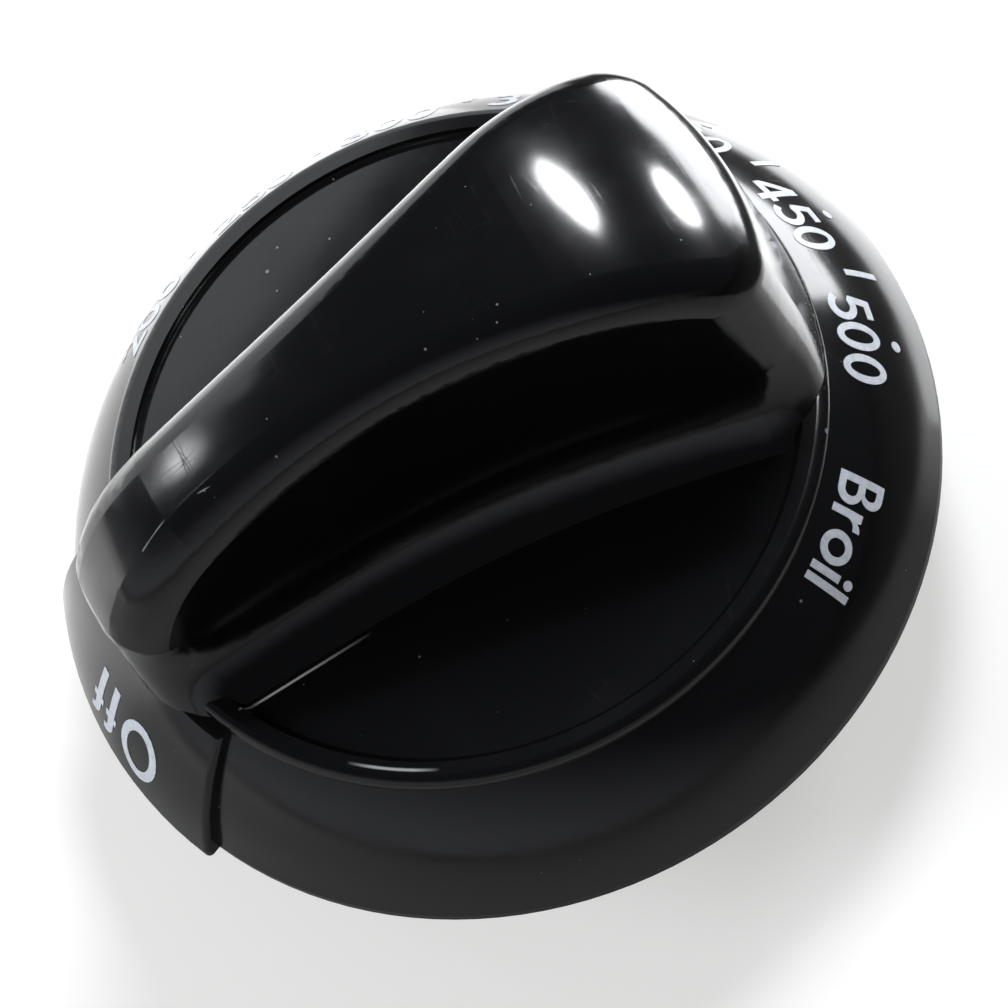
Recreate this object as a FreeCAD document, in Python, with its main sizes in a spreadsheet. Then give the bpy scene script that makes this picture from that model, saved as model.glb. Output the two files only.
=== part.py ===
import FreeCAD, Part
import math
import os
import Sketcher

# Oven control knob: one moulded body and the spring clip in its shaft socket.
# Millimetres. +Z runs out of the knob's face along its axis, +Y points to the Off mark.
# The origin is on the axis at the mouth of the shaft socket, where the stem ends.

os.makedirs("parts", exist_ok=True)
doc = FreeCAD.newDocument("oven_control_knob")

# Driving sizes. Heights and tops are above the rim plane, half widths are across the grip.
SIZES = [
    # skirt and hub
    ("rim_plane", 10.0),
    ("skirt_radius", 30.0),
    ("skirt_run", 5.4),
    ("lip_height", 0.6),
    ("skirt_bulge", 20.8),
    ("skirt_wall", 1.8),
    ("hub_foot", 8.95),
    ("bead_shoulder", 9.2),
    ("bead_round", 0.8),
    ("bead_height", 9.9),
    ("bead_width", 1.6),
    ("floor_inset", 2.1),
    ("floor_height", 9.3),
    ("ceiling_height", 7.0),
    ("ceiling_inset", 2.0),
    # stem, and how far shapes of the moulding run into each other
    ("stem_radius", 6.0),
    ("stem_bevel", 0.5),
    ("overlap", 0.5),
    # shaft socket
    ("shaft_radius", 3.25),
    ("shaft_flat", 1.6),
    ("entry_relief", 0.2),
    ("round_entry", 7.0),
    ("socket_depth", 22.0),
    # ribs under the hub
    ("rib_thickness", 1.5),
    ("rib_inset", 2.8),
    ("rib_foot", 3.5),
    # raised pad under the Off mark
    ("pad_rise", 0.95),
    ("pad_angle", 43.5),
    ("pad_top", 9.1),
    ("pad_edge_round", 0.4),
    # grip
    ("grip_foot", 9.0),
    ("crest_rise", 21.0),
    ("ceiling_margin", 4.0),
    ("nose_overhang", 1.7),
    ("crest_past_nose", 0.6),
    ("wide_overhang", 1.1),
    ("wide_lean", 2.8),
    ("crown_axis", 1.0),
    ("crest_peak_reach", 9.5),
    ("crest_fall_share", 0.495),
    ("narrow_round", 14.0),
    ("wide_round", 15.5),
    ("shoulder_round", 3.0),
    ("wide_end_round", 4.2),
    ("nose_round", 4.4),
    ("tip_round", 4.0),
    # hollow of the grip
    ("core_gap", 2.0),
    ("core_end_wall", 3.9),
    ("core_near_half", 3.4),
    ("core_far_half", 6.4),
    ("core_roof", 8.0),
    ("slot_end_wall", 3.9),
    ("slot_half", 2.6),
    ("slot_roof", 9.5),
    # spring clip and its groove, with heights above the mouth of the stem
    ("clip_groove", 2.2),
    ("clip_thickness", 0.4),
    ("clip_width", 3.6),
    ("clip_side_gap", 0.1),
    ("clip_start", 8.0),
    ("clip_bend", 12.0),
    ("clip_end", 20.0),
    ("clip_bow", 18.0),
]

# Cross sections of the grip, from the narrow end to the wide end: place as a share of
# the end's reach, half width at the foot, half width where the foot's hollow curve runs
# into the side, height of that line as a share of the crest's rise, and half width
# where the side would reach the ceiling of the grip's block.
STATIONS = [
    ("a", 1.065, 9.2, 5.0, 0.238, 4.5),
    ("b", 0.456, 9.2, 5.0, 0.238, 4.5),
    ("c", 0.095, 9.9, 5.6, 0.238, 5.4),
    ("d", -0.236, 11.2, 7.2, 0.238, 7.2),
    ("e", -0.551, 13.1, 9.4, 0.248, 9.2),
    ("f", -0.787, 14.8, 11.2, 0.286, 9.6),
    ("g", -1.03, 16.8, 13.2, 0.333, 9.2),
]
STATION_SIZES = ["place", "foot", "side", "side_share", "top"]

sheet = doc.addObject("Spreadsheet::Sheet", "sizes")
cells = list(SIZES)
for station in STATIONS:
    for name, value in zip(STATION_SIZES, station[1:]):
        cells.append(("station_%s_%s" % (station[0], name), value))
for row, (alias, value) in enumerate(cells, start=1):
    sheet.set("A%d" % row, alias)
    sheet.set("B%d" % row, str(value))
    sheet.setAlias("B%d" % row, alias)
doc.recompute()


class Size:
    """A length: its value in millimetres and the expression that gives it."""

    def __init__(self, value, text):
        self.value = value
        self.text = text

    def __add__(self, other):
        return Size(self.value + other.value, "(%s + %s)" % (self.text, other.text))

    def __sub__(self, other):
        return Size(self.value - other.value, "(%s - %s)" % (self.text, other.text))

    def __mul__(self, other):
        return Size(self.value * other.value, "(%s * %s)" % (self.text, other.text))

    def __truediv__(self, other):
        return Size(self.value / other.value, "(%s / %s)" % (self.text, other.text))

    def __neg__(self):
        return Size(-self.value, "(0 mm - %s)" % self.text)

    def leg(self, other):
        """The other leg of a right triangle with this hypotenuse."""
        value = math.sqrt(self.value ** 2 - other.value ** 2)
        return Size(value, "sqrt(%s ^ 2 - %s ^ 2)" % (self.text, other.text))

    def hypotenuse(self, other):
        value = math.hypot(self.value, other.value)
        return Size(value, "sqrt(%s ^ 2 + %s ^ 2)" % (self.text, other.text))


def cell(alias, value):
    """The cell's size. A share or an angle has no unit, and a length is in millimetres."""
    plain = alias.endswith(("_share", "_place"))
    return Size(value, "sizes.%s" % alias if plain else "(sizes.%s * 1 mm)" % alias)


S = {alias: cell(alias, value) for alias, value in cells}
ZERO = Size(0.0, "0 mm")
PLUS = Size(1.0, "1")
MINUS = Size(-1.0, "(-1)")
TWO = Size(2.0, "2")


def above_rim(alias):
    """A height that the sheet gives above the rim plane."""
    return S["rim_plane"] + S[alias]


# Radii of the moulding, from the rim inwards, and reaches of the grip's ends
hub_radius = S["skirt_radius"] - S["skirt_run"]
floor_radius = hub_radius - S["floor_inset"]
ceiling_radius = hub_radius - S["ceiling_inset"]
narrow_reach = hub_radius + S["nose_overhang"]
crest_narrow_reach = narrow_reach + S["crest_past_nose"]
wide_reach = hub_radius + S["wide_overhang"]
wide_head_reach = wide_reach - S["wide_lean"]

# Heights of the grip, above the mouth of the stem
grip_foot = above_rim("grip_foot")
crest_peak = grip_foot + S["crest_rise"]
grip_ceiling = crest_peak + S["ceiling_margin"]


def origin_plane(body, role):
    return next(item for item in body.Origin.OriginFeatures if item.Role == role)


def outline(sketch, corners):
    """Closed outline. Each corner is (across, up, radius of the arc that leads to the next
    corner or None, +1 or -1 for an arc that bulges left or right of its chord)."""
    count = len(corners)
    edges = []
    for index, (across, up, radius, side) in enumerate(corners):
        nxt = corners[(index + 1) % count]
        start = FreeCAD.Vector(across.value, up.value, 0)
        end = FreeCAD.Vector(nxt[0].value, nxt[1].value, 0)
        if radius is None:
            edges.append((sketch.addGeometry(Part.LineSegment(start, end), False), 1, 2))
            continue
        chord = end - start
        half = chord.Length / 2
        left = FreeCAD.Vector(-chord.y, chord.x, 0).normalize()
        bulge = radius.value - math.sqrt(radius.value ** 2 - half ** 2)
        middle = (start + end) * 0.5 + left * (side * bulge)
        arc = Part.Arc(start, middle, end).toShape().Curve
        centre = (start + end) * 0.5 - left * (side * (radius.value - bulge))
        first = math.atan2(start.y - centre.y, start.x - centre.x)
        last = math.atan2(end.y - centre.y, end.x - centre.x)
        circle = Part.Circle(centre, FreeCAD.Vector(0, 0, 1), radius.value)
        if side > 0:
            geometry = sketch.addGeometry(Part.ArcOfCircle(circle, last, first), False)
            edges.append((geometry, 2, 1))
        else:
            geometry = sketch.addGeometry(Part.ArcOfCircle(circle, first, last), False)
            edges.append((geometry, 1, 2))
    for index in range(count):
        here, start_point, _ = edges[index]
        before, _, end_point = edges[index - 1]
        sketch.addConstraint(Sketcher.Constraint("Coincident", before, end_point, here, start_point))
    for index, (across, up, radius, side) in enumerate(corners):
        geometry, point, _ = edges[index]
        for kind, size in (("DistanceX", across), ("DistanceY", up)):
            number = sketch.addConstraint(
                Sketcher.Constraint(kind, -1, 1, geometry, point, size.value))
            sketch.setExpression("Constraints[%d]" % number, size.text)
        if radius is not None:
            number = sketch.addConstraint(Sketcher.Constraint("Radius", geometry, radius.value))
            sketch.setExpression("Constraints[%d]" % number, radius.text)
    return sketch


def body_sketch(body, name, role, corners):
    sketch = body.newObject("Sketcher::SketchObject", name)
    sketch.AttachmentSupport = [(origin_plane(body, role), "")]
    sketch.MapMode = "FlatFace"
    return outline(sketch, corners)


def free_sketch(name, rotation, corners):
    sketch = doc.addObject("Sketcher::SketchObject", name)
    sketch.Placement = FreeCAD.Placement(FreeCAD.Vector(0, 0, 0), rotation)
    return outline(sketch, corners)


ACROSS = FreeCAD.Rotation(FreeCAD.Vector(1, 0, 0), 90)
ALONG = FreeCAD.Rotation(FreeCAD.Vector(1, 1, 1), 120)
FLAT = FreeCAD.Rotation()

# Skirt, hub and stem: one profile turned about the knob's axis
moulding = doc.addObject("PartDesign::Body", "moulding")
moulding.Label = "turned_moulding"
bead_edge = hub_radius - (S["bead_height"] - S["bead_shoulder"])
profile = body_sketch(moulding, "turned_profile", "XZ_Plane", [
    (S["skirt_radius"] - S["skirt_wall"], S["rim_plane"], None, 0),
    (S["skirt_radius"], S["rim_plane"], None, 0),
    (S["skirt_radius"], above_rim("lip_height"), S["skirt_bulge"], -1),
    (hub_radius, above_rim("hub_foot"), None, 0),
    (hub_radius, above_rim("bead_shoulder"), S["bead_round"], -1),
    (bead_edge, above_rim("bead_height"), None, 0),
    (hub_radius - S["bead_width"], above_rim("bead_height"), S["bead_round"], 1),
    (floor_radius, above_rim("floor_height"), None, 0),
    (ZERO, above_rim("floor_height"), None, 0),
    (ZERO, ZERO, None, 0),
    (S["stem_radius"] - S["stem_bevel"], ZERO, None, 0),
    (S["stem_radius"], S["stem_bevel"], None, 0),
    (S["stem_radius"], above_rim("ceiling_height"), None, 0),
    (ceiling_radius, above_rim("ceiling_height"), None, 0),
])
turned = moulding.newObject("PartDesign::Revolution", "turned")
turned.Profile = profile
turned.ReferenceAxis = (profile, ["V_Axis"])
turned.Angle = 360
doc.recompute()

# Raised pad on the skirt under the Off mark
pad_profile = body_sketch(moulding, "off_pad_profile", "YZ_Plane", [
    (S["skirt_radius"] - S["overlap"], S["rim_plane"], None, 0),
    (S["skirt_radius"] + S["pad_rise"], S["rim_plane"], None, 0),
    (S["skirt_radius"] + S["pad_rise"], above_rim("lip_height"), S["skirt_bulge"], -1),
    (hub_radius + S["pad_rise"], above_rim("pad_top"), None, 0),
    (hub_radius - S["overlap"], above_rim("pad_top"), S["skirt_bulge"], 1),
])
off_pad = moulding.newObject("PartDesign::Revolution", "off_pad")
off_pad.Profile = pad_profile
off_pad.ReferenceAxis = (pad_profile, ["V_Axis"])
off_pad.Midplane = True
off_pad.setExpression("Angle", "sizes.pad_angle * 1 deg")
doc.recompute()


def pad_side_edges(shape):
    """Edges where the pad's face turns down into its two steps."""
    names = []
    for number, edge in enumerate(shape.Edges, start=1):
        middle = edge.valueAt((edge.FirstParameter + edge.LastParameter) / 2)
        turn = abs(math.degrees(math.atan2(middle.x, middle.y)))
        chord = [math.hypot(vertex.X, vertex.Y) for vertex in edge.Vertexes]
        on_face = abs(max(chord) - S["skirt_radius"].value - S["pad_rise"].value) < 0.01
        if abs(turn - S["pad_angle"].value / 2) < 0.1 and on_face and middle.z > above_rim("lip_height").value / 1.0 - 0.4:
            names.append("Edge%d" % number)
    return names


pad_edges = moulding.newObject("PartDesign::Fillet", "pad_edges")
pad_edges.Base = (off_pad, pad_side_edges(off_pad.Shape))
pad_edges.setExpression("Radius", S["pad_edge_round"].text)
doc.recompute()

# Four ribs under the hub, from the stem to the skirt
rib_profile = body_sketch(moulding, "rib_profile", "XZ_Plane", [
    (S["stem_radius"] - S["overlap"], above_rim("rib_foot"), None, 0),
    (S["skirt_radius"] - S["rib_inset"], above_rim("rib_foot"), None, 0),
    (ceiling_radius + S["overlap"], above_rim("ceiling_height") + S["overlap"], None, 0),
    (S["stem_radius"] - S["overlap"], above_rim("ceiling_height") + S["overlap"], None, 0),
])
rib = moulding.newObject("PartDesign::Pad", "rib")
rib.Profile = rib_profile
rib.Midplane = True
rib.setExpression("Length", S["rib_thickness"].text)
doc.recompute()
ribs = moulding.newObject("PartDesign::PolarPattern", "ribs")
ribs.Originals = [rib]
ribs.Axis = (rib_profile, ["V_Axis"])
ribs.Angle = 360
ribs.Occurrences = 4
moulding.Tip = ribs
doc.recompute()

# Grip: a loft of cross sections with hollow feet
sections = []
for station in STATIONS:
    at = {name: S["station_%s_%s" % (station[0], name)] for name in STATION_SIZES}
    reach = narrow_reach if at["place"].value > 0 else wide_reach
    spread = at["foot"] - at["side"]
    rise = at["side_share"] * S["crest_rise"]
    lean = at["side"] - at["top"]
    height = grip_ceiling - grip_foot - rise
    slant = lean.hypotenuse(height)
    hollow = (spread * spread + rise * rise) * slant / (spread * height - rise * lean) / TWO
    side_height = grip_foot + rise
    section = free_sketch("grip_section_" + station[0], ACROSS, [
        (-at["foot"], grip_foot, None, 0),
        (at["foot"], grip_foot, hollow, 1),
        (at["side"], side_height, None, 0),
        (at["top"], grip_ceiling, None, 0),
        (-at["top"], grip_ceiling, None, 0),
        (-at["side"], side_height, hollow, 1),
    ])
    section.setExpression("Placement.Base.y", (at["place"] * reach).text)
    sections.append(section)
grip_loft = doc.addObject("Part::Loft", "grip_loft")
grip_loft.Sections = sections
grip_loft.Solid = True
grip_loft.Ruled = False

# Crest of the grip: its side view turned about a line along the grip, for the crown
crest_run = crest_narrow_reach + S["crest_peak_reach"]
crest_fall = S["crest_fall_share"] * S["crest_rise"]
crest_bow = (crest_run * crest_run + crest_fall * crest_fall) / crest_fall / TWO
crest_centre_height = crest_peak - crest_bow


def crest_end(reach, end_round, direction):
    """Height where an end wall stops and the point where its round meets the crest."""
    across = reach - end_round + direction * S["crest_peak_reach"]
    down = crest_bow - end_round
    up = down.leg(across)
    share = crest_bow / down
    return crest_centre_height + up, across * share, crest_centre_height + up * share


narrow_top, narrow_meets, narrow_meets_height = crest_end(crest_narrow_reach, S["narrow_round"], PLUS)
wide_top, wide_meets, wide_meets_height = crest_end(wide_reach, S["wide_round"], MINUS)
crest_profile = free_sketch("crest_profile", ALONG, [
    (-wide_reach, above_rim("crown_axis"), None, 0),
    (crest_narrow_reach, above_rim("crown_axis"), None, 0),
    (crest_narrow_reach, narrow_top, S["narrow_round"], -1),
    (narrow_meets - S["crest_peak_reach"], narrow_meets_height, crest_bow, -1),
    (-S["crest_peak_reach"] - wide_meets, wide_meets_height, S["wide_round"], -1),
    (-wide_reach, wide_top, None, 0),
])
crest = doc.addObject("Part::Revolution", "crest")
crest.Source = crest_profile
crest.Axis = FreeCAD.Vector(0, 1, 0)
crest.setExpression("Base.z", above_rim("crown_axis").text)
crest.Angle = 180
crest.Symmetric = True
crest.Solid = True

# Ends of the grip: a wall over the hub's edge at the wide end, past it at the narrow end
wide_bound = doc.addObject("Part::Cone", "wide_bound")
wide_bound.setExpression("Radius1", wide_reach.text)
wide_bound.setExpression("Radius2", wide_head_reach.text)
wide_bound.Placement.Rotation = FreeCAD.Rotation(FreeCAD.Vector(0, 0, 1), 180)
narrow_bound = doc.addObject("Part::Cylinder", "narrow_bound")
narrow_bound.setExpression("Radius", narrow_reach.text)
for bound in (wide_bound, narrow_bound):
    bound.Angle = 180
    bound.setExpression("Height", grip_ceiling.text)
bounds = doc.addObject("Part::Fuse", "bounds")
bounds.Base = wide_bound
bounds.Tool = narrow_bound
grip_trim = doc.addObject("Part::MultiCommon", "grip_trim")
grip_trim.Shapes = [grip_loft, crest, bounds]
grip_trim.Refine = True
doc.recompute()


def grip_edges(shape):
    """Edges of the trimmed grip that are rounded: shoulders, wide end, nose and its tip."""
    chosen = {"shoulder": [], "wide": [], "nose": [], "tip": []}
    taper = S["wide_lean"].value / grip_ceiling.value
    above_hollow = grip_foot.value + S["crest_rise"].value * 0.45
    for number, edge in enumerate(shape.Edges, start=1):
        middle = edge.valueAt((edge.FirstParameter + edge.LastParameter) / 2)
        reach = math.hypot(middle.x, middle.y)
        if middle.z < grip_foot.value + 0.01:
            continue
        if middle.y < 0 and abs(reach - wide_reach.value + taper * middle.z) < 0.02:
            chosen["wide"].append(number)
        elif middle.y > 0 and abs(reach - narrow_reach.value) < 0.01:
            chosen["tip" if abs(middle.x) < 3 else "nose"].append(number)
        elif middle.z > above_hollow and edge.BoundBox.YLength > 1 and abs(middle.x) > 1:
            chosen["shoulder"].append(number)
    return chosen


rounds = {"shoulder": S["shoulder_round"].value, "wide": S["wide_end_round"].value,
          "nose": S["nose_round"].value, "tip": S["tip_round"].value}
grip = doc.addObject("Part::Fillet", "grip")
grip.Base = grip_trim
grip.Edges = [(number, rounds[where], rounds[where])
              for where, numbers in grip_edges(grip_trim.Shape).items() for number in numbers]
doc.recompute()

solid_knob = doc.addObject("Part::Fuse", "solid_knob")
solid_knob.Base = moulding
solid_knob.Tool = grip
solid_knob.Refine = True
doc.recompute()


def block(name, rotation, corners, start, length, direction):
    """A straight block on a closed outline, from start along direction."""
    sketch = free_sketch(name + "_outline", rotation, corners)
    for axis, part in zip("xyz", direction):
        if part:
            sketch.setExpression("Placement.Base." + axis, start.text)
    body = doc.addObject("Part::Extrusion", name)
    body.Base = sketch
    body.DirMode = "Custom"
    body.Dir = FreeCAD.Vector(*direction)
    body.setExpression("LengthFwd", length.text)
    body.Solid = True
    return body


# Hollow of the grip, on both sides of the stem
core_near = S["stem_radius"] + S["core_gap"]
core_far = wide_reach - S["core_end_wall"]
slot_far = narrow_reach - S["slot_end_wall"]
core_foot = above_rim("rib_foot")
wide_core = block("wide_core", FLAT, [
    (-S["core_far_half"], -core_far, None, 0),
    (S["core_far_half"], -core_far, None, 0),
    (S["core_near_half"], -core_near, None, 0),
    (-S["core_near_half"], -core_near, None, 0),
], core_foot, crest_peak - S["core_roof"] - core_foot, (0, 0, 1))
narrow_core = block("narrow_core", FLAT, [
    (-S["slot_half"], core_near, None, 0),
    (S["slot_half"], core_near, None, 0),
    (S["slot_half"], slot_far, None, 0),
    (-S["slot_half"], slot_far, None, 0),
], core_foot, crest_peak - S["slot_roof"] - core_foot, (0, 0, 1))

# Shaft socket: a round entry, then a closer bore with a flat, and a groove for the clip
entry = doc.addObject("Part::Cylinder", "socket_entry")
entry.setExpression("Radius", (S["shaft_radius"] + S["entry_relief"]).text)
entry.setExpression("Height", S["round_entry"].text)
flat_bore = block("flat_bore", FLAT, [
    (-S["shaft_radius"].leg(S["shaft_flat"]), S["shaft_flat"], S["shaft_radius"], -1),
    (ZERO, -S["shaft_radius"], S["shaft_radius"], -1),
    (S["shaft_radius"].leg(S["shaft_flat"]), S["shaft_flat"], None, 0),
], S["round_entry"], S["socket_depth"] - S["round_entry"], (0, 0, 1))
groove_half = S["clip_side_gap"] + S["clip_width"] / TWO
groove = block("clip_groove", FLAT, [
    (-groove_half, ZERO, None, 0),
    (groove_half, ZERO, None, 0),
    (groove_half, S["clip_groove"], None, 0),
    (-groove_half, S["clip_groove"], None, 0),
], S["round_entry"], S["clip_end"] - S["round_entry"] + S["clip_side_gap"], (0, 0, 1))
hollows = doc.addObject("Part::MultiFuse", "hollows")
hollows.Shapes = [wide_core, narrow_core, entry, flat_bore, groove]
hollows.Refine = True
knob = doc.addObject("Part::Cut", "knob")
knob.Label = "knob_body"
knob.Base = solid_knob
knob.Tool = hollows
knob.Refine = True
doc.recompute()

# Spring clip: a strip flat on the groove's floor, then bowed towards the shaft
clip = doc.addObject("PartDesign::Body", "clip")
clip.Label = "shaft_spring_clip"
inner_face = S["clip_groove"] - S["clip_thickness"]
clip_profile = body_sketch(clip, "clip_profile", "YZ_Plane", [
    (inner_face, S["clip_start"], None, 0),
    (S["clip_groove"], S["clip_start"], None, 0),
    (S["clip_groove"], S["clip_bend"], S["clip_bow"], 1),
    (S["clip_groove"], S["clip_end"], None, 0),
    (inner_face, S["clip_end"], S["clip_bow"], -1),
    (inner_face, S["clip_bend"], None, 0),
])
strip = clip.newObject("PartDesign::Pad", "strip")
strip.Profile = clip_profile
strip.Midplane = True
strip.setExpression("Length", S["clip_width"].text)
doc.recompute()

# Checks and files
for item in doc.Objects:
    if "Invalid" in item.State or "Error" in item.State:
        raise RuntimeError("%s did not compute: %s" % (item.Name, item.State))
before = solid_knob.Shape.Volume
if not knob.Shape.Volume < before - entry.Shape.Volume:
    raise RuntimeError("the hollows cut nothing")
for part in (knob, clip):
    shape = part.Shape
    if shape.isNull() or not shape.isValid() or len(shape.Solids) != 1:
        raise RuntimeError("%s is not one valid solid" % part.Label)
    shape.exportStep("parts/%s.step" % part.Label)
    print(part.Label, round(shape.Volume, 1), "mm3", len(shape.Faces), "faces")
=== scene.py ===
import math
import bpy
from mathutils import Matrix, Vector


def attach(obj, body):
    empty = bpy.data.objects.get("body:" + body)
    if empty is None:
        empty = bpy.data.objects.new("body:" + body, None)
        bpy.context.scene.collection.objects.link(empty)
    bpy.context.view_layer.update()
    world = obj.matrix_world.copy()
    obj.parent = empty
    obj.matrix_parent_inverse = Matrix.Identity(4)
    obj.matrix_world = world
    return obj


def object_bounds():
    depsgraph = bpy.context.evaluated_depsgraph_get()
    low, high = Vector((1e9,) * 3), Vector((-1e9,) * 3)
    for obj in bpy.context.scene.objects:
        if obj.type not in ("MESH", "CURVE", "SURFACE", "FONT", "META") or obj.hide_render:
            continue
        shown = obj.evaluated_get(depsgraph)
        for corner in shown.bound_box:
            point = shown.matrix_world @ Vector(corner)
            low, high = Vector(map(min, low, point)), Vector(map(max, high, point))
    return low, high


bl_info = {
    "name": "Oven Control Knob",
    "version": (1, 0, 0),
    "blender": (4, 5, 0),
    "location": "View3D > Sidebar > Knob",
    "description": "Dresses a moulded oven control knob with its finish, dial, wear and a plain stage",
    "category": "Object",
}

import bmesh
import bpy
from mathutils import Matrix, Vector
from mathutils.geometry import tessellate_polygon

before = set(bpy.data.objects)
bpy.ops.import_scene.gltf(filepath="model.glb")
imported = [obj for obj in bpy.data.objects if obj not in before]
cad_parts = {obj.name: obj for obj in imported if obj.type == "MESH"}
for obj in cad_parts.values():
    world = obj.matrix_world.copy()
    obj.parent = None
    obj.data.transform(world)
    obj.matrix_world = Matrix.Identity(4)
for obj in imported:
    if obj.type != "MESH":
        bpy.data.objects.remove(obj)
CAD_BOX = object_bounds()
BODY = "root"
MM = 0.001

# Where the printed skirt and the pad under Off lie: the radius from the frame, the rest as moulded.
# Heights and tops are above the rim plane.
RIM_PLANE = 10.0 * MM
SKIRT_RADIUS = CAD_BOX[1].x
SKIRT_RUN = 5.4 * MM
HUB_RADIUS = SKIRT_RADIUS - SKIRT_RUN
LIP_HEIGHT = 0.6 * MM
HUB_FOOT = 8.95 * MM
SKIRT_BULGE = 20.8 * MM
PAD_RISE = 0.95 * MM
PAD_TOP = 9.1 * MM
# Space between two letters as a share of their height, and how finely print is cut to follow the slope
LETTER_GAP = 0.085
PRINT_PITCH = 0.4 * MM

# Specks and chips that show on this knob: place and radius in millimetres
SPECKS = (
    (-4.7, -6.6, 39.5, 0.16), (-5.6, -6.0, 39.2, 0.13), (-5.7, -4.4, 38.9, 0.13), (-4.4, -1.3, 39.0, 0.16),
    (-3.7, 10.3, 36.3, 0.15), (3.8, -8.8, 39.7, 0.10), (22.6, -1.6, 19.4, 0.12), (19.2, 5.4, 19.3, 0.22),
    (20.4, 4.0, 19.3, 0.15), (17.5, 5.5, 19.3, 0.12), (18.8, 0.7, 19.3, 0.13), (18.4, 12.6, 19.3, 0.11),
    (-12.0, 9.7, 19.3, 0.12), (-22.3, -13.1, 17.6, 0.18), (-13.7, -20.3, 19.4, 0.30),
    (-2.4, 15.4, 35.2, 0.10),
)
# Two bright scratches near the nose: their ends in millimetres
SCRATCHES = (((-2.2, 15.9, 35.1), (-2.5, 14.5, 35.4)), ((-2.2, 20.9, 32.6), (-1.9, 18.6, 34.0)))
# Two painted glints: highlights painted pale along the foot of the grip near its narrow end, which runs along
# Y, and along the bead beside it, which runs round the axis. The same pale also colours the dust, specks and
# scratches
PALE_MARK_AND_GLINT_COLOUR = (0.45, 0.45, 0.46)
GLINT_FOOT_X = -8.62 * MM
GLINT_FOOT_Z = 19.5 * MM
GLINT_BEAD_RADIUS = 23.55 * MM
GLINT_BEAD_PLACE = (-18.4 * MM, 14.9 * MM, 19.9 * MM)

# Which way is up in the room that the gloss mirrors, and the sides on which its paper ends and on which it
# glows with painted light that only reflections see
ROOM_UP = (0.30, -0.55, 0.78)
PAPER_END = (0.25, -0.97, 0.0)
PAPER_LIT = (0.94, -0.34, 0.0)
# Half the floor's side in metres, and the white of the lamps
FLOOR_REACH = 3.0
LAMP_COLOUR = (0.95, 0.97, 1.0)
# The photograph's camera: its lens and film in millimetres, the point that it looks at, how far away it
# stands, where round and above the knob, and its turn about its own axis
CAMERA_LENS = 240.8
CAMERA_FILM = 36.0
CAMERA_AIM = Vector((-0.262, 0.093, 9.853)) * MM
CAMERA_DISTANCE = 450.0 * MM
CAMERA_AZIMUTH = math.radians(182.0)
CAMERA_ELEVATION = math.radians(60.3)
CAMERA_ROLL = math.radians(-33.517)


class KnobFinishSettings(bpy.types.PropertyGroup):
    """Colours and gloss of the moulding and its clip."""

    plastic: bpy.props.FloatVectorProperty(
        name="Plastic", description="Colour of the moulded body", subtype="COLOR",
        size=3, min=0.0, max=1.0, default=(0.0026, 0.0027, 0.0031))
    plastic_worn: bpy.props.FloatVectorProperty(
        name="Handled Plastic", description="Colour where the body is handled most", subtype="COLOR",
        size=3, min=0.0, max=1.0, default=(0.0040, 0.0041, 0.0044))
    gloss_roughness: bpy.props.FloatProperty(
        name="Gloss Roughness", description="Roughness of the clean gloss", subtype="FACTOR",
        min=0.0, max=1.0, default=0.135)
    haze_roughness: bpy.props.FloatProperty(
        name="Haze Roughness", description="Roughness where fingers have dulled the gloss", subtype="FACTOR",
        min=0.0, max=1.0, default=0.20)
    steel: bpy.props.FloatVectorProperty(
        name="Spring Steel", description="Colour of the shaft's spring clip", subtype="COLOR",
        size=3, min=0.0, max=1.0, default=(0.53, 0.53, 0.54))


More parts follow.
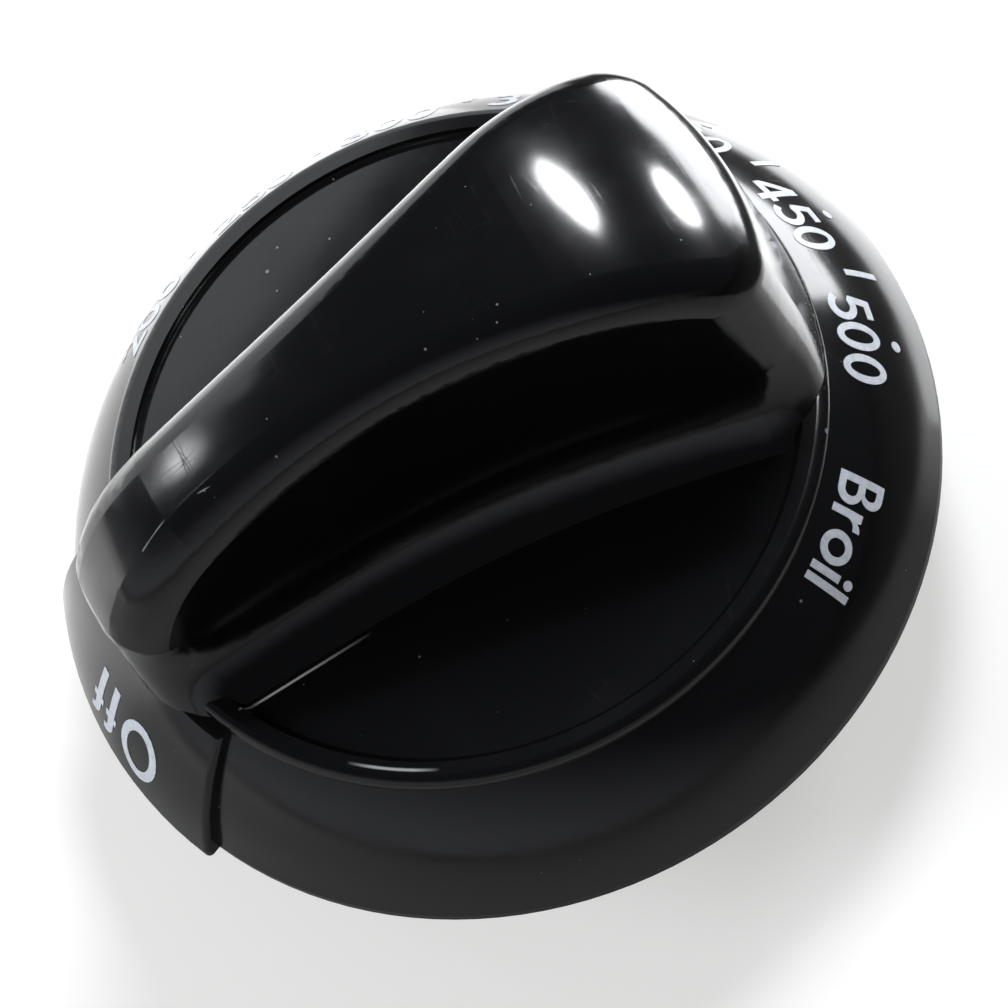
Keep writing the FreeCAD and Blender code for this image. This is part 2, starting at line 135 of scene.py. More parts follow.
class KnobDialSettings(bpy.types.PropertyGroup):
    """Sizes, places and colour of the printed dial."""

    ink: bpy.props.FloatVectorProperty(
        name="Ink", description="Colour of the print", subtype="COLOR",
        size=3, min=0.0, max=1.0, default=(0.60, 0.63, 0.69))
    ink_thickness: bpy.props.FloatProperty(
        name="Ink Thickness", description="How far the print stands proud of the plastic",
        unit="LENGTH", default=0.03 * MM)
    cap_height: bpy.props.FloatProperty(
        name="Cap Height", description="Height of the numbers along the slope",
        unit="LENGTH", default=3.6 * MM)
    word_height: bpy.props.FloatProperty(
        name="Off Height", description="Height of the word on the pad",
        unit="LENGTH", default=4.85 * MM)
    word_foot: bpy.props.FloatProperty(
        name="Off Foot", description="Height of the word's feet above the rim",
        unit="LENGTH", default=6.15 * MM)
    stroke: bpy.props.FloatProperty(
        name="Stroke", description="Width of the strokes as a share of the cap height", subtype="FACTOR",
        min=0.05, max=0.3, default=0.155)
    baseline_height: bpy.props.FloatProperty(
        name="Baseline", description="Height of the numbers' feet above the rim",
        unit="LENGTH", default=8.1 * MM)
    dot_height: bpy.props.FloatProperty(
        name="Dot Height", description="Height of the dots above the rim",
        unit="LENGTH", default=4.0 * MM)
    dot_size: bpy.props.FloatProperty(
        name="Dot Size", description="Diameter of the dots",
        unit="LENGTH", default=0.8 * MM)
    tick_height: bpy.props.FloatProperty(
        name="Tick Height", description="Height of the ticks' inner ends above the rim",
        unit="LENGTH", default=6.0 * MM)
    tick_length: bpy.props.FloatProperty(
        name="Tick Length", description="Length of the ticks down the slope",
        unit="LENGTH", default=3.0 * MM)
    tick_width: bpy.props.FloatProperty(
        name="Tick Width", description="Width of the ticks",
        unit="LENGTH", default=0.5 * MM)
    hottest: bpy.props.IntProperty(
        name="Hottest", description="Number at the start of the scale", default=500)
    coolest: bpy.props.IntProperty(
        name="Coolest", description="Number at the end of the scale", default=200)
    number_step: bpy.props.IntProperty(
        name="Number Step", description="Difference between two numbers", default=50)
    hottest_angle: bpy.props.FloatProperty(
        name="Hottest Angle", description="Where the hottest number stands, from +X",
        subtype="ANGLE", default=math.radians(253.4))
    step_angle: bpy.props.FloatProperty(
        name="Step Angle", description="Turn between two numbers",
        subtype="ANGLE", default=math.radians(23.0))
    broil_angle: bpy.props.FloatProperty(
        name="Broil Angle", description="Where the word Broil is centred, from +X",
        subtype="ANGLE", default=math.radians(222.5))
    off_angle: bpy.props.FloatProperty(
        name="Off Angle", description="Where the word Off is centred, from +X",
        subtype="ANGLE", default=math.radians(93.9))


class KnobStageSettings(bpy.types.PropertyGroup):
    """Floor, light and camera."""

    floor_colour: bpy.props.FloatVectorProperty(
        name="Floor", description="Colour of the floor", subtype="COLOR",
        size=3, min=0.0, max=1.0, default=(0.60, 0.598, 0.585))
    floor_lift: bpy.props.FloatProperty(
        name="Floor Lift", description="White that the camera sees added to the floor", min=0.0, max=1.0,
        default=0.49)
    near_reflection: bpy.props.FloatProperty(
        name="Near Reflection", description="White that the gloss sees added to the floor on its near side",
        min=0.0, max=1.0, default=0.08)
    far_reflection: bpy.props.FloatProperty(
        name="Far Reflection", description="White that the gloss sees added to the floor beyond the knob",
        min=0.0, max=1.0, default=1.0)
    glow_brightness: bpy.props.FloatProperty(
        name="Glow Brightness", description="Brightness of the lit strip of paper that the skirt mirrors",
        min=0.0, default=1.5)
    fill: bpy.props.FloatVectorProperty(
        name="Fill", description="Even light from the room", subtype="COLOR",
        size=3, min=0.0, max=1.0, default=(0.13, 0.13, 0.13))
    ceiling: bpy.props.FloatVectorProperty(
        name="Ceiling", description="Colour of the dim room above, as the gloss sees it", subtype="COLOR",
        size=3, min=0.0, max=1.0, default=(0.045, 0.047, 0.052))
    horizon: bpy.props.FloatVectorProperty(
        name="Horizon", description="Colour of the room low down, as the gloss sees it", subtype="COLOR",
        size=3, min=0.0, max=1.0, default=(0.42, 0.43, 0.46))
    key_brightness: bpy.props.FloatProperty(
        name="Key Brightness", description="Brightness of the key light, where 1 shows as white", min=0.0,
        default=32.0)
    end_brightness: bpy.props.FloatProperty(
        name="End Brightness", description="Brightness of the light at the wide end", min=0.0, default=36.0)
    low_brightness: bpy.props.FloatProperty(
        name="Low Brightness", description="Brightness of the low card by the skirt", min=0.0, default=11.0)
    nose_brightness: bpy.props.FloatProperty(
        name="Nose Brightness", description="Brightness of the light at the narrow end", min=0.0,
        default=14.0)
    side_brightness: bpy.props.FloatProperty(
        name="Side Brightness", description="Brightness of the soft light on the side of the word Off",
        min=0.0, default=16.0)
    card_brightness: bpy.props.FloatProperty(
        name="Card Brightness", description="Brightness of the white card beyond the knob", min=0.0,
        default=1.1)


# Materials

def new_material(name):
    """An empty node material with its output and shader."""
    material = bpy.data.materials.new(name)
    material.use_nodes = True
    nodes = material.node_tree.nodes
    nodes.clear()
    shader = nodes.new("ShaderNodeBsdfPrincipled")
    output = nodes.new("ShaderNodeOutputMaterial")
    material.node_tree.links.new(shader.outputs["BSDF"], output.inputs["Surface"])
    return material, shader


def node(material, kind, inputs=None, **settings):
    """A node with its settings and its inputs, which are values or other nodes' sockets."""
    made = material.node_tree.nodes.new(kind)
    for key, value in settings.items():
        setattr(made, key, value)
    for key, value in (inputs or {}).items():
        if isinstance(value, bpy.types.NodeSocket):
            material.node_tree.links.new(value, made.inputs[key])
        else:
            made.inputs[key].default_value = value
    return made


def object_place(material, stretch=(1.0, 1.0, 1.0)):
    """Coordinates in the knob's own frame, stretched where a mark has a direction."""
    place = node(material, "ShaderNodeTexCoord").outputs["Object"]
    return node(material, "ShaderNodeMapping", {"Vector": place, "Scale": stretch}).outputs["Vector"]


def noise(material, vector, scale, detail=3.0, rough=0.5):
    """Soft random patches from 0 to 1, with about as many to the metre as scale says."""
    return node(material, "ShaderNodeTexNoise",
                {"Vector": vector, "Scale": scale, "Detail": detail, "Roughness": rough}).outputs["Fac"]


def ramp(material, fac, low, high, start, end):
    """Maps fac from low..high to start..end."""
    return node(material, "ShaderNodeMapRange", {"Value": fac, "From Min": low, "From Max": high,
                                                 "To Min": start, "To Max": end}).outputs["Result"]


def blend(material, fac, first, second):
    """Mixes two colours by fac. The node has sockets for each kind of value, so its colours go by number."""
    mixed = node(material, "ShaderNodeMix", data_type="RGBA")
    material.node_tree.links.new(fac, mixed.inputs["Factor"])
    for socket, value in ((mixed.inputs[6], first), (mixed.inputs[7], second)):
        if isinstance(value, bpy.types.NodeSocket):
            material.node_tree.links.new(value, socket)
        else:
            socket.default_value = (*value, 1.0)
    return mixed.outputs[2]


def rise(material, fac, low, high):
    """0 up to low and 1 from high on."""
    return ramp(material, fac, low, high, 0.0, 1.0)


def fall(material, fac, low, high):
    """1 up to low and 0 from high on."""
    return ramp(material, fac, low, high, 1.0, 0.0)


def calc(material, operation, first, second=0.0):
    """What arithmetic makes of one or two numbers."""
    return node(material, "ShaderNodeMath", {0: first, 1: second}, operation=operation).outputs["Value"]


def product(material, first, *others):
    """All the given numbers multiplied together."""
    for other in others:
        first = calc(material, "MULTIPLY", first, other)
    return first


def highest(material, first, *others):
    """The highest of the given numbers."""
    for other in others:
        first = calc(material, "MAXIMUM", first, other)
    return first


def off_by(material, value, target):
    """How far a number lies from a target, either way."""
    return calc(material, "ABSOLUTE", calc(material, "SUBTRACT", value, target))


def vector_calc(material, operation, first, second=(0.0, 0.0, 0.0)):
    """What arithmetic makes of one or two vectors: a number where the operation gives one."""
    made = node(material, "ShaderNodeVectorMath", {0: first, 1: second}, operation=operation)
    return made.outputs["Value" if operation in ("DOT_PRODUCT", "DISTANCE", "LENGTH") else "Vector"]


def mirror_rays(material):
    """1 for what gloss or glass sees and 0 for the rest, and the sockets that tell the rays apart."""
    path = node(material, "ShaderNodeLightPath").outputs
    return highest(material, path["Is Glossy Ray"], path["Is Transmission Ray"]), path


def hairlines(material, place):
    """Hairline scratches in patches: the thin ridges of two patterns, each stretched its own way."""
    ridges = []
    for stretch, scale in (((1.0, 0.06, 0.4), 900.0), ((0.07, 1.0, 0.5), 700.0)):
        cells = node(material, "ShaderNodeTexVoronoi",
                     {"Vector": object_place(material, stretch), "Scale": scale}, feature="DISTANCE_TO_EDGE")
        ridges.append(cells.outputs["Distance"])
    thin = fall(material, calc(material, "MINIMUM", *ridges), 0.0, 0.012)
    patches = rise(material, noise(material, place, 240.0, 3.0, 0.6), 0.52, 0.66)
    return product(material, thin, patches)


def dust_and_specks(material, place, axes):
    """Scattered grains, lint in the corner under the wide end, and this knob's own specks and scratches."""
    cells = node(material, "ShaderNodeTexVoronoi", {"Vector": place, "Scale": 1300.0}, feature="F1").outputs
    chosen = node(material, "ShaderNodeSeparateColor", {"Color": cells["Color"]}).outputs["Red"]
    grains = product(material, fall(material, cells["Distance"], 0.04, 0.08),
                     calc(material, "GREATER_THAN", chosen, 0.95))
    corner = product(material, fall(material, axes["Y"], -22.5 * MM, -21.5 * MM),
                     rise(material, axes["Z"], 19.0 * MM, 19.3 * MM),
                     fall(material, axes["Z"], 20.0 * MM, 24.0 * MM))
    lint = ramp(material, noise(material, place, 3800.0, 3.0, 0.7), 0.60, 0.66, 0.0, 0.8)
    marks = [grains, product(material, corner, lint)]
    for *middle, radius in SPECKS:
        apart = vector_calc(material, "DISTANCE", place, tuple(Vector(middle) * MM))
        marks.append(fall(material, apart, 0.35 * radius * MM, 0.75 * radius * MM))
    for ends in SCRATCHES:
        start, end = (Vector(point) * MM for point in ends)
        reach = end - start
        apart = vector_calc(material, "SUBTRACT", place, tuple(start))
        run = vector_calc(material, "DOT_PRODUCT", apart, tuple(reach / reach.length_squared))
        run = node(material, "ShaderNodeClamp", {"Value": run}).outputs["Result"]
        nearest = node(material, "ShaderNodeVectorMath", {0: tuple(reach), "Scale": run}, operation="SCALE")
        apart = vector_calc(material, "DISTANCE", apart, nearest.outputs["Vector"])
        marks.append(fall(material, apart, 0.02 * MM, 0.07 * MM))
    return highest(material, *marks)


def painted_edge_glints(material, place, axes):
    """Painted highlights: a length of the grip's foot near its narrow end and a length of the bead beside it,
    painted pale as glints.
    """
    foot = product(material, fall(material, off_by(material, axes["X"], GLINT_FOOT_X), 0.05 * MM, 0.12 * MM),
                   rise(material, axes["Y"], 11.5 * MM, 17.0 * MM),
                   fall(material, axes["Y"], 21.2 * MM, 21.6 * MM),
                   fall(material, off_by(material, axes["Z"], GLINT_FOOT_Z), 0.3 * MM, 0.5 * MM))
    radius = vector_calc(material, "LENGTH", vector_calc(material, "MULTIPLY", place, (1.0, 1.0, 0.0)))
    apart = vector_calc(material, "DISTANCE", place, GLINT_BEAD_PLACE)
    bead = product(material, fall(material, off_by(material, radius, GLINT_BEAD_RADIUS), 0.04 * MM, 0.14 * MM),
                   fall(material, apart, 1.4 * MM, 3.2 * MM))
    return highest(material, foot, bead)


def gloss_plastic(finish):
    """Black moulded gloss plastic: faint flow in the colour, haze from fingers, fine scratches and dust, and
    two painted glints.
    """
    material, shader = new_material("gloss_black_plastic")
    link = material.node_tree.links.new
    place = object_place(material)
    axes = node(material, "ShaderNodeSeparateXYZ", {"Vector": place}).outputs
    scratches = hairlines(material, place)
    dust = dust_and_specks(material, place, axes)
    flow = noise(material, place, 90.0, 4.0)
    colour = blend(material, flow, tuple(finish.plastic), tuple(finish.plastic_worn))
    # painted highlight: the edge glints are painted pale into the colour along with the real dust and
    # scratches
    pale = highest(material, product(material, dust, 0.4), painted_edge_glints(material, place, axes))
    link(blend(material, pale, colour, PALE_MARK_AND_GLINT_COLOUR), shader.inputs["Base Color"])
    handled = rise(material, noise(material, place, 160.0, 5.0, 0.6), 0.45, 0.72)
    rough = ramp(material, handled, 0.0, 1.0, finish.gloss_roughness, finish.haze_roughness)
    rough = calc(material, "ADD", rough, product(material, scratches, 0.12))
    link(highest(material, rough, product(material, dust, 0.6)), shader.inputs["Roughness"])
    # the faint ripple of a moulded skin, with the scratches cut into it
    fine = noise(material, place, 5200.0, 2.0, 0.5)
    height = calc(material, "ADD", noise(material, place, 420.0, 2.0, 0.4), product(material, fine, 0.05))
    height = calc(material, "SUBTRACT", height, product(material, scratches, 0.25))
    height = calc(material, "ADD", height, product(material, dust, 0.5))
    bump = node(material, "ShaderNodeBump", {"Height": height, "Strength": 0.35, "Distance": 0.02 * MM})
    link(bump.outputs["Normal"], shader.inputs["Normal"])
    shader.inputs["IOR"].default_value = 1.58
    # a film of handling over the gloss, which puts a soft halo round the highlights
    shader.inputs["Coat Weight"].default_value = 0.10
    shader.inputs["Coat Roughness"].default_value = 0.27
    return material


def spring_steel(finish):
    """Rolled strip steel with its grain along the strip."""
    material, shader = new_material("rolled_spring_steel")
    link = material.node_tree.links.new
    grain = noise(material, object_place(material, (14.0, 1.0, 0.4)), 700.0, 4.0)
    link(blend(material, grain, tuple(finish.steel), tuple(0.72 * part for part in finish.steel)),
         shader.inputs["Base Color"])
    link(ramp(material, grain, 0.3, 0.7, 0.24, 0.42), shader.inputs["Roughness"])
    bump = node(material, "ShaderNodeBump", {"Height": grain, "Strength": 0.3, "Distance": 0.01 * MM})
    link(bump.outputs["Normal"], shader.inputs["Normal"])
    shader.inputs["Metallic"].default_value = 1.0
    return material


def dial_ink(dial):
    """Pad-printed ink: pale and slightly blue, thinner in places, with dark pits."""
    material, shader = new_material("pale_dial_ink")
    link = material.node_tree.links.new
    place = object_place(material)
    cover = noise(material, place, 2600.0, 4.0, 0.6)
    thin = tuple(0.80 * part for part in dial.ink)
    colour = blend(material, rise(material, cover, 0.35, 0.65), thin, tuple(dial.ink))
    pits = ramp(material, noise(material, place, 9000.0, 2.0, 0.5), 0.70, 0.78, 0.0, 0.45)
    link(blend(material, pits, colour, (0.16, 0.17, 0.19)), shader.inputs["Base Color"])
    link(ramp(material, cover, 0.3, 0.7, 0.34, 0.5), shader.inputs["Roughness"])
    bump = node(material, "ShaderNodeBump", {"Height": cover, "Strength": 0.25, "Distance": 0.01 * MM})
    link(bump.outputs["Normal"], shader.inputs["Normal"])
    return material


# Letter shapes, each drawn one unit high. A shape is a list of areas, and an area an outline with its holes.

def arc(cx, cy, rx, ry, start, end, steps=14):
    """Points of an ellipse's arc, between two angles in degrees."""
    points = []
    for index in range(steps + 1):
        angle = math.radians(start + (end - start) * index / steps)
        points.append((cx + rx * math.cos(angle), cy + ry * math.sin(angle)))
    return points


def ring(cx, cy, rx, ry, stroke):
    """Outline and hole of an oval."""
    return [arc(cx, cy, rx, ry, 0, 345, 23), arc(cx, cy, rx - stroke, ry - stroke, 0, 345, 23)]


def ribbon(points, stroke):
    """Outline of a stroke of even width along a path, with mitred corners."""
    half = stroke / 2
    path = [Vector(point) for point in points]
    left, right = [], []
    for index, point in enumerate(path):
        before = (point - path[index - 1]).normalized() if index else None
        after = (path[index + 1] - point).normalized() if index + 1 < len(path) else None
        along = ((before or after) + (after or before)).normalized()
        side = Vector((-along.y, along.x))
        reach = half / max(side.dot(Vector((-(after or before).y, (after or before).x))), 0.5)
        left.append(point + side * reach)
        right.append(point - side * reach)
    return [[tuple(point) for point in left + right[::-1]]]


def shape_of(letter, stroke):
    """Areas and advance of a number or letter."""
    half = stroke / 2
    if letter == "0":
        return [ring(0.30, 0.5, 0.30, 0.5, stroke)], 0.60
    if letter == "2":
        path = arc(0.28, 0.70, 0.22, 0.222, 168, -38) + [(0.115, half), (0.56, half)]
        return [ribbon(path, stroke)], 0.56
    if letter == "3":
        outer = arc(0.27, 0.735, 0.265, 0.265, 150, -38) + arc(0.27, 0.305, 0.305, 0.305, 38, -148)
        inner = arc(0.27, 0.305, 0.305 - stroke, 0.305 - stroke, -148, 90)
        inner += [(0.19, 0.61 - stroke), (0.19, 0.47 + stroke)]
        inner += arc(0.27, 0.735, 0.265 - stroke, 0.265 - stroke, -90, 150)
        return [[outer + inner]], 0.58
    if letter == "4":
        left, right = 0.36, 0.36 + stroke
        low, high = 0.20, 0.20 + stroke
        outer = [(left, 0.0), (right, 0.0), (right, low), (0.62, low), (0.62, high), (right, high)]
        outer += [(right, 1.0), (left, 1.0), (0.0, high), (0.0, low), (left, low)]
        hole = [(left, high), (left, 0.70), (0.15, high)]
        return [[outer, hole]], 0.62
    if letter == "5":
        path = [(0.53, 1 - half), (0.19, 1 - half), (0.135, 0.56)] + arc(0.28, 0.325, 0.247, 0.247, 118, -148)
        return [ribbon(path, stroke)], 0.56
    if letter == "B":
        outer = [(0.0, 0.0), (0.0, 1.0)] + arc(0.28, 0.755, 0.25, 0.245, 90, -62)
        outer += arc(0.31, 0.275, 0.28, 0.275, 66, -90)
        upper = [(stroke, 0.59)] + arc(0.28, 0.72, 0.10, 0.13, -90, 90, 8) + [(stroke, 0.85)]
        lower = [(stroke, 0.15)] + arc(0.31, 0.29, 0.12, 0.14, -90, 90, 8) + [(stroke, 0.43)]
        return [[outer, upper, lower]], 0.60
    if letter == "r":
        outer = [(0.0, 0.0), (stroke, 0.0), (stroke, 0.34)] + arc(0.36, 0.34, 0.36 - stroke, 0.20, 180, 90, 8)
        outer += [(0.36, 0.69)] + arc(0.36, 0.48, 0.20, 0.21, 100, 150, 5) + [(stroke, 0.67), (0.0, 0.67)]
        return [[outer]], 0.36
    if letter in "oO":
        high = 1.0 if letter == "O" else 0.69
        wide = 0.43 if letter == "O" else 0.33
        return [ring(wide, high / 2, wide, high / 2, stroke)], 2 * wide + (0.07 if letter == "O" else 0.0)
    if letter == "i":
        stem = [(0.0, 0.0), (stroke, 0.0), (stroke, 0.67), (0.0, 0.67)]
        dot = arc(half, 0.88, 0.098, 0.098, 0, 340, 17)
        return [[stem], [dot]], stroke
    if letter == "l":
        return [[[(0.0, 0.0), (stroke, 0.0), (stroke, 1.0), (0.0, 1.0)]]], stroke
    if letter == "f":
        left, right = 0.06, 0.06 + stroke
        outer = [(left, 0.0), (left, 0.54), (0.0, 0.54), (0.0, 0.66), (left, 0.66)]
        outer += arc(0.26, 0.77, 0.20, 0.21, 180, 90, 8)
        outer += [(0.31, 0.98), (0.31, 0.85)] + arc(0.27, 0.77, 0.27 - right, 0.08, 90, 180, 6)
        outer += [(right, 0.66), (0.29, 0.66), (0.29, 0.54), (right, 0.54), (right, 0.0)]
        return [[outer]], 0.30
    raise RuntimeError("no shape for %r" % letter)


# Print

class Slope:
    """The curved face of the skirt or of the pad on it, where print goes: an arc turned round the axis."""

    def __init__(self, proud, top):
        foot = Vector((SKIRT_RADIUS + proud, LIP_HEIGHT))
        head = Vector((HUB_RADIUS + proud, top))
        chord = head - foot
        half = chord.length / 2
        inward = Vector((-chord.y, chord.x)).normalized()
        self.centre = (foot + head) / 2 + inward * math.sqrt(SKIRT_BULGE ** 2 - half ** 2)

    def turn_at(self, height):
        """Angle on the face's arc at a height above the rim."""
        return math.asin((height - self.centre.y) / SKIRT_BULGE)

    def point(self, angle, turn, lift):
        """A place at an angle round the axis and a turn up the face's arc, lifted off the face."""
        out = Vector((math.cos(turn) * math.cos(angle), math.cos(turn) * math.sin(angle), math.sin(turn)))
        radius = self.centre.x + SKIRT_BULGE * math.cos(turn)
        place = Vector((radius * math.cos(angle), radius * math.sin(angle),
                        RIM_PLANE + self.centre.y + SKIRT_BULGE * math.sin(turn)))
        return place + out * lift


def print_area(bm, outlines, slope, angle, base_turn, thickness):
    """One printed area: a flat shape, cut small, wrapped onto the slope and given its thickness."""
    flat = bmesh.new()
    corners = [flat.verts.new((x, y, 0.0)) for outline in outlines for x, y in outline]
    for triangle in tessellate_polygon([[Vector((x, y, 0.0)) for x, y in outline] for outline in outlines]):
        flat.faces.new([corners[index] for index in triangle])
    for axis, normal in ((0, (1, 0, 0)), (1, (0, 1, 0))):
        low = min(vert.co[axis] for vert in flat.verts)
        high = max(vert.co[axis] for vert in flat.verts)
        for step in range(1, int((high - low) / PRINT_PITCH) + 1):
            place = Vector((0.0, 0.0, 0.0))
            place[axis] = low + step * PRINT_PITCH
            bmesh.ops.bisect_plane(flat, geom=flat.verts[:] + flat.edges[:] + flat.faces[:],
                                   plane_co=place, plane_no=normal, dist=1e-7)
    bmesh.ops.recalc_face_normals(flat, faces=flat.faces[:])
    if sum(face.normal.z for face in flat.faces) < 0:
        bmesh.ops.reverse_faces(flat, faces=flat.faces[:])
    upper, lower = {}, {}
    for layer, lift in ((upper, thickness), (lower, -thickness)):
        for vert in flat.verts:
            turn = base_turn - vert.co.y / SKIRT_BULGE
            radius = slope.centre.x + SKIRT_BULGE * math.cos(turn)
            layer[vert] = bm.verts.new(slope.point(angle - vert.co.x / radius, turn, lift))
    for face in flat.faces:
        bm.faces.new([upper[vert] for vert in face.verts])
        bm.faces.new([lower[vert] for vert in reversed(face.verts)])
    for edge in flat.edges:
        if edge.is_boundary:
            first = edge.link_loops[0].vert
            second = edge.other_vert(first)
            bm.faces.new([upper[second], upper[first], lower[first], lower[second]])
    flat.free()


def print_word(bm, word, slope, angle, foot_height, cap, dial):
    """A word with its feet towards the hub, read clockwise, each letter square to the slope."""
    shapes = [shape_of(letter, dial.stroke) for letter in word]
    width = sum(advance for _, advance in shapes) + LETTER_GAP * (len(word) - 1)
    base_turn = slope.turn_at(foot_height)
    middle_turn = base_turn - cap / 2 / SKIRT_BULGE
    middle_radius = slope.centre.x + SKIRT_BULGE * math.cos(middle_turn)
    pen = -width / 2
    for areas, advance in shapes:
        letter_angle = angle - (pen + advance / 2) * cap / middle_radius
        for outlines in areas:
            moved = [[((x - advance / 2) * cap, y * cap) for x, y in outline] for outline in outlines]
            print_area(bm, moved, slope, letter_angle, base_turn, dial.ink_thickness)
        pen += advance + LETTER_GAP


def add_piece(bm, name, material):
    """Makes a finished piece that rides on the knob."""
    mesh = bpy.data.meshes.new(name)
    bmesh.ops.recalc_face_normals(bm, faces=bm.faces[:])
    bm.to_mesh(mesh)
    bm.free()
    piece = bpy.data.objects.new(name, mesh)
    bpy.context.scene.collection.objects.link(piece)
    mesh.materials.append(material)
    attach(piece, BODY)


# Pieces

class KNOB_OT_body_finish(bpy.types.Operator):
    """Gives the moulded body its gloss plastic"""

    bl_idname = "knob.body_finish"
    bl_label = "Finish the Moulded Body"

    def execute(self, context):
        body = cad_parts["knob_body"]
        body.data.materials.clear()
        body.data.materials.append(gloss_plastic(context.scene.knob_finish))
        return {"FINISHED"}


class KNOB_OT_clip_finish(bpy.types.Operator):
    """Gives the shaft's spring clip its rolled steel"""

    bl_idname = "knob.clip_finish"
    bl_label = "Finish the Spring Clip"

    def execute(self, context):
        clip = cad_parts["shaft_spring_clip"]
        clip.data.materials.clear()
        clip.data.materials.append(spring_steel(context.scene.knob_finish))
        return {"FINISHED"}


class KNOB_OT_dial_print(bpy.types.Operator):
    """Prints the numbers, words, dots and ticks on the skirt"""

    bl_idname = "knob.dial_print"
    bl_label = "Print the Dial"

    def execute(self, context):
        dial = context.scene.knob_dial
        ink = dial_ink(dial)
        skirt = Slope(0.0, HUB_FOOT)
        pad = Slope(PAD_RISE, PAD_TOP)
        numbers, words, marks = bmesh.new(), bmesh.new(), bmesh.new()
        count = (dial.hottest - dial.coolest) // dial.number_step
        dot = [arc(0.0, 0.0, dial.dot_size / 2, dial.dot_size / 2, 0, 342, 19)]
        half = dial.tick_width / 2
        tick = [[(-half, 0.0), (half, 0.0), (half, dial.tick_length), (-half, dial.tick_length)]]
        for index in range(count + 1):
            angle = dial.hottest_angle + index * dial.step_angle
            print_word(numbers, str(dial.hottest - index * dial.number_step), skirt, angle,
                       dial.baseline_height, dial.cap_height, dial)
            print_area(marks, dot, skirt, angle, skirt.turn_at(dial.dot_height), dial.ink_thickness)
            if index < count:
                print_area(marks, tick, skirt, angle + dial.step_angle / 2,
                           skirt.turn_at(dial.tick_height), dial.ink_thickness)
        print_word(words, "Broil", skirt, dial.broil_angle, dial.baseline_height, dial.cap_height, dial)
        print_word(words, "Off", pad, dial.off_angle, dial.word_foot, dial.word_height, dial)
        for bm, name in ((numbers, "dial_numbers"), (words, "dial_words"), (marks, "dial_dots_and_ticks")):
            add_piece(bm, name, ink)
        return {"FINISHED"}


# Stage

def softbox(name, place, aim, size, brightness, along=(0.0, 0.0, 1.0), shape="RECTANGLE", lights=True,
            mirrored=True):
    """Hangs a light that faces aim. Its second size lies along a given way, and brightness 1 shows as white.

    With lights off it is a card that only the gloss sees. With mirrored off the gloss doesn't see it.
    """
    light = bpy.data.lights.new(name, "AREA")
    light.shape = shape
    light.color = LAMP_COLOUR
    light.size, light.size_y = size
    area = size[0] * size[1] * (math.pi / 4 if shape == "ELLIPSE" else 1.0)
    light.energy = brightness * math.pi * area
    lamp = bpy.data.objects.new(name, light)
    back = (Vector(place) - Vector(aim)).normalized()
    side = Vector(along).cross(back).normalized()
    lamp.matrix_world = Matrix((side, back.cross(side), back)).transposed().to_4x4()
    lamp.location = place
    lamp.visible_camera = False
    lamp.visible_diffuse = lights
    lamp.visible_glossy = mirrored
    bpy.context.scene.collection.objects.link(lamp)


def hang_lights(stage):
    """Hangs the lights and cards that the gloss mirrors, and a soft light on the matt print of Off."""
    # places on the knob and on the paper that the lights hang off, each by a direction times a distance
    top = Vector((0.0, -0.012, 0.038))
    end = Vector((0.005, -0.022, 0.036))
    nose = Vector((0.0, 0.018, 0.032))
    paper = Vector((0.011, -0.0388, 0.0005))
    softbox("key_light", top + Vector((0.495, -0.426, 0.757)) * 0.35, top, (0.165, 0.085),
            stage.key_brightness, (-0.129, 0.826, 0.549), "ELLIPSE")
    softbox("end_light", end + Vector((0.339, -0.907, 0.250)) * 0.13, end, (0.036, 0.031),
            stage.end_brightness, (0.214, 0.333, 0.918), "ELLIPSE")
    softbox("nose_light", nose + Vector((0.550, 0.603, 0.578)) * 0.35, nose, (0.024, 0.050),
            stage.nose_brightness, (0.799, -0.179, -0.574), "ELLIPSE")
    softbox("side_light", (0.055, 0.325, 0.155), (0.0, 0.020, 0.015), (0.160, 0.120),
            stage.side_brightness, mirrored=False)
    softbox("low_card", (0.032, -0.066, 0.022), (0.001, -0.026, 0.022), (0.044, 0.025),
            stage.low_brightness, lights=False)
    softbox("paper_glow", paper, paper + Vector((0.0, 0.0, 0.1)), (0.046, 0.017),
            stage.glow_brightness, (-0.25, 0.97, 0.0), "ELLIPSE", lights=False)
    softbox("far_card", (0.040, 0.020, 0.0355), (0.0, 0.020, 0.0355), (0.090, 0.050),
            stage.card_brightness, (0.0, -0.592, 0.806), lights=False)


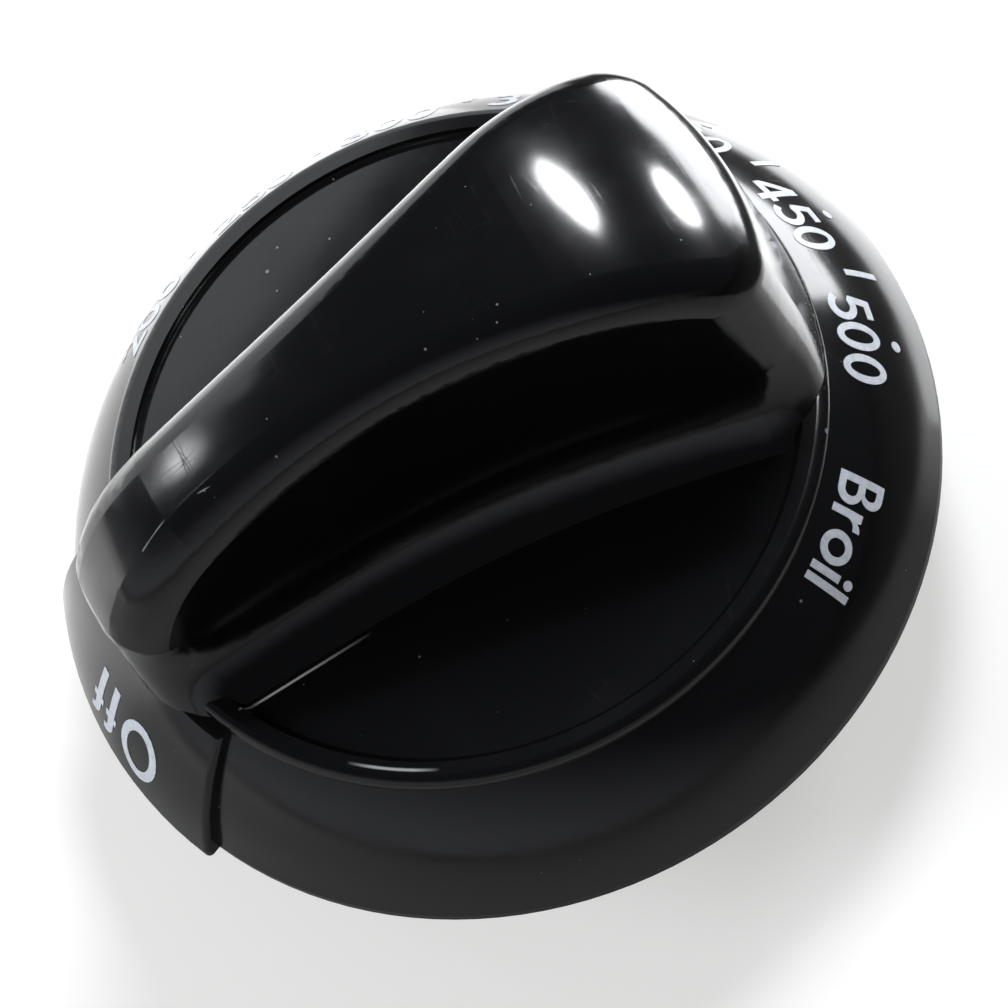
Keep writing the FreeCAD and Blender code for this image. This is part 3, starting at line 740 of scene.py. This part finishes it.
def floor_finish(stage):
    """Pale matt paper, white to the camera where no shadow falls, duller towards the room's dim side, and a
    painted glow that only reflections see, taken away under the rim as painted shadow.
    """
    material = bpy.data.materials.new("pale_floor")
    material.use_nodes = True
    material.node_tree.nodes.clear()
    place = node(material, "ShaderNodeTexCoord").outputs["Object"]
    mirrored, path = mirror_rays(material)
    # the paper ends a little beyond the knob on one side, and reflections find the dim room there
    ended = rise(material, vector_calc(material, "DOT_PRODUCT", place, PAPER_END), 45.0 * MM, 51.0 * MM)
    # painted light for reflections: the floor glows white to the gloss, faintly on the near side and fully
    # beyond the knob
    lit = ramp(material, vector_calc(material, "DOT_PRODUCT", place, PAPER_LIT), -8.0 * MM, 8.0 * MM,
               stage.near_reflection, stage.far_reflection)
    # painted shadow: the painted glow that reflections see fades out close under the rim
    clear = rise(material, vector_calc(material, "LENGTH", place), 31.0 * MM, 36.0 * MM)
    lit = product(material, lit, calc(material, "SUBTRACT", 1.0, ended), clear)
    hidden = product(material, mirrored, ramp(material, ended, 0.0, 1.0, 0.5, 0.92))
    colour = blend(material, hidden, tuple(stage.floor_colour), (0.0, 0.0, 0.0))
    grain = noise(material, place, 900.0, 4.0, 0.7)
    colour = blend(material, product(material, grain, 0.12), colour, (0.2, 0.2, 0.19))
    matt = node(material, "ShaderNodeBsdfDiffuse", {"Color": colour})
    lift = calc(material, "ADD", product(material, path["Is Camera Ray"], stage.floor_lift),
                product(material, mirrored, lit))
    glow = node(material, "ShaderNodeEmission", {"Color": (1.0, 1.0, 0.985, 1.0), "Strength": lift})
    both = node(material, "ShaderNodeAddShader", {0: matt.outputs["BSDF"], 1: glow.outputs["Emission"]})
    node(material, "ShaderNodeOutputMaterial", {"Surface": both.outputs["Shader"]})
    return material


def room(stage):
    """White where the camera looks past the floor, and a dim room in reflections, paler low on one side."""
    world = bpy.data.worlds.new("dim_room")
    world.use_nodes = True
    world.node_tree.nodes.clear()
    way = node(world, "ShaderNodeTexCoord").outputs["Generated"]
    height = vector_calc(world, "DOT_PRODUCT", way, ROOM_UP)
    mirrored, path = mirror_rays(world)
    dim = blend(world, fall(world, height, -0.50, 0.05), tuple(stage.ceiling), tuple(stage.horizon))
    seen = blend(world, mirrored, tuple(stage.fill), dim)
    seen = blend(world, path["Is Camera Ray"], seen, (1.0, 1.0, 1.0))
    background = node(world, "ShaderNodeBackground", {"Color": seen})
    node(world, "ShaderNodeOutputWorld", {"Surface": background.outputs["Background"]})
    return world


def place_camera():
    """Puts the camera where the photograph's was."""
    data = bpy.data.cameras.new("photo_camera")
    data.sensor_width = CAMERA_FILM
    data.lens = CAMERA_LENS
    data.clip_start = 0.01
    data.clip_end = 10.0
    camera = bpy.data.objects.new("photo_camera", data)
    turned = Matrix.Rotation(CAMERA_AZIMUTH + math.pi / 2, 4, "Z")
    raised = Matrix.Rotation(math.pi / 2 - CAMERA_ELEVATION, 4, "X")
    rolled = Matrix.Rotation(CAMERA_ROLL, 4, "Z")
    back = Matrix.Translation((0.0, 0.0, CAMERA_DISTANCE))
    camera.matrix_world = Matrix.Translation(CAMERA_AIM) @ turned @ raised @ rolled @ back
    bpy.context.scene.collection.objects.link(camera)
    bpy.context.scene.camera = camera


class KNOB_OT_stage(bpy.types.Operator):
    """Lays the floor and sets the lights and the camera"""

    bl_idname = "knob.stage"
    bl_label = "Set the Stage"

    def execute(self, context):
        scene = context.scene
        scene.view_settings.view_transform = "Standard"
        mesh = bpy.data.meshes.new("floor")
        corners = [(x * FLOOR_REACH, y * FLOOR_REACH, 0.0) for x, y in ((-1, -1), (1, -1), (1, 1), (-1, 1))]
        mesh.from_pydata(corners, [], [(0, 1, 2, 3)])
        floor = bpy.data.objects.new("floor", mesh)
        scene.collection.objects.link(floor)
        mesh.materials.append(floor_finish(scene.knob_stage))
        scene.world = room(scene.knob_stage)
        hang_lights(scene.knob_stage)
        place_camera()
        return {"FINISHED"}


class KNOB_PT_panel(bpy.types.Panel):
    """Lists the knob's pieces and its stage"""

    bl_label = "Oven Control Knob"
    bl_idname = "KNOB_PT_panel"
    bl_space_type = "VIEW_3D"
    bl_region_type = "UI"
    bl_category = "Knob"

    def draw(self, context):
        for operator in STEPS:
            self.layout.operator(operator.bl_idname)


STEPS = (KNOB_OT_body_finish, KNOB_OT_clip_finish, KNOB_OT_dial_print, KNOB_OT_stage)
GROUPS = {"knob_finish": KnobFinishSettings, "knob_dial": KnobDialSettings, "knob_stage": KnobStageSettings}


def register():
    """Adds the settings, the operators and the panel."""
    for group in GROUPS.values():
        bpy.utils.register_class(group)
    for name, group in GROUPS.items():
        setattr(bpy.types.Scene, name, bpy.props.PointerProperty(type=group))
    for operator in STEPS:
        bpy.utils.register_class(operator)
    bpy.utils.register_class(KNOB_PT_panel)


def unregister():
    """Takes them away again."""
    bpy.utils.unregister_class(KNOB_PT_panel)
    for operator in reversed(STEPS):
        bpy.utils.unregister_class(operator)
    for name in GROUPS:
        delattr(bpy.types.Scene, name)
    for group in reversed(GROUPS.values()):
        bpy.utils.unregister_class(group)


def main():
    """Builds the visual model."""
    register()
    bpy.ops.knob.body_finish()
    bpy.ops.knob.clip_finish()
    bpy.ops.knob.dial_print()
    bpy.ops.knob.stage()


if __name__ == "__main__":
    main()
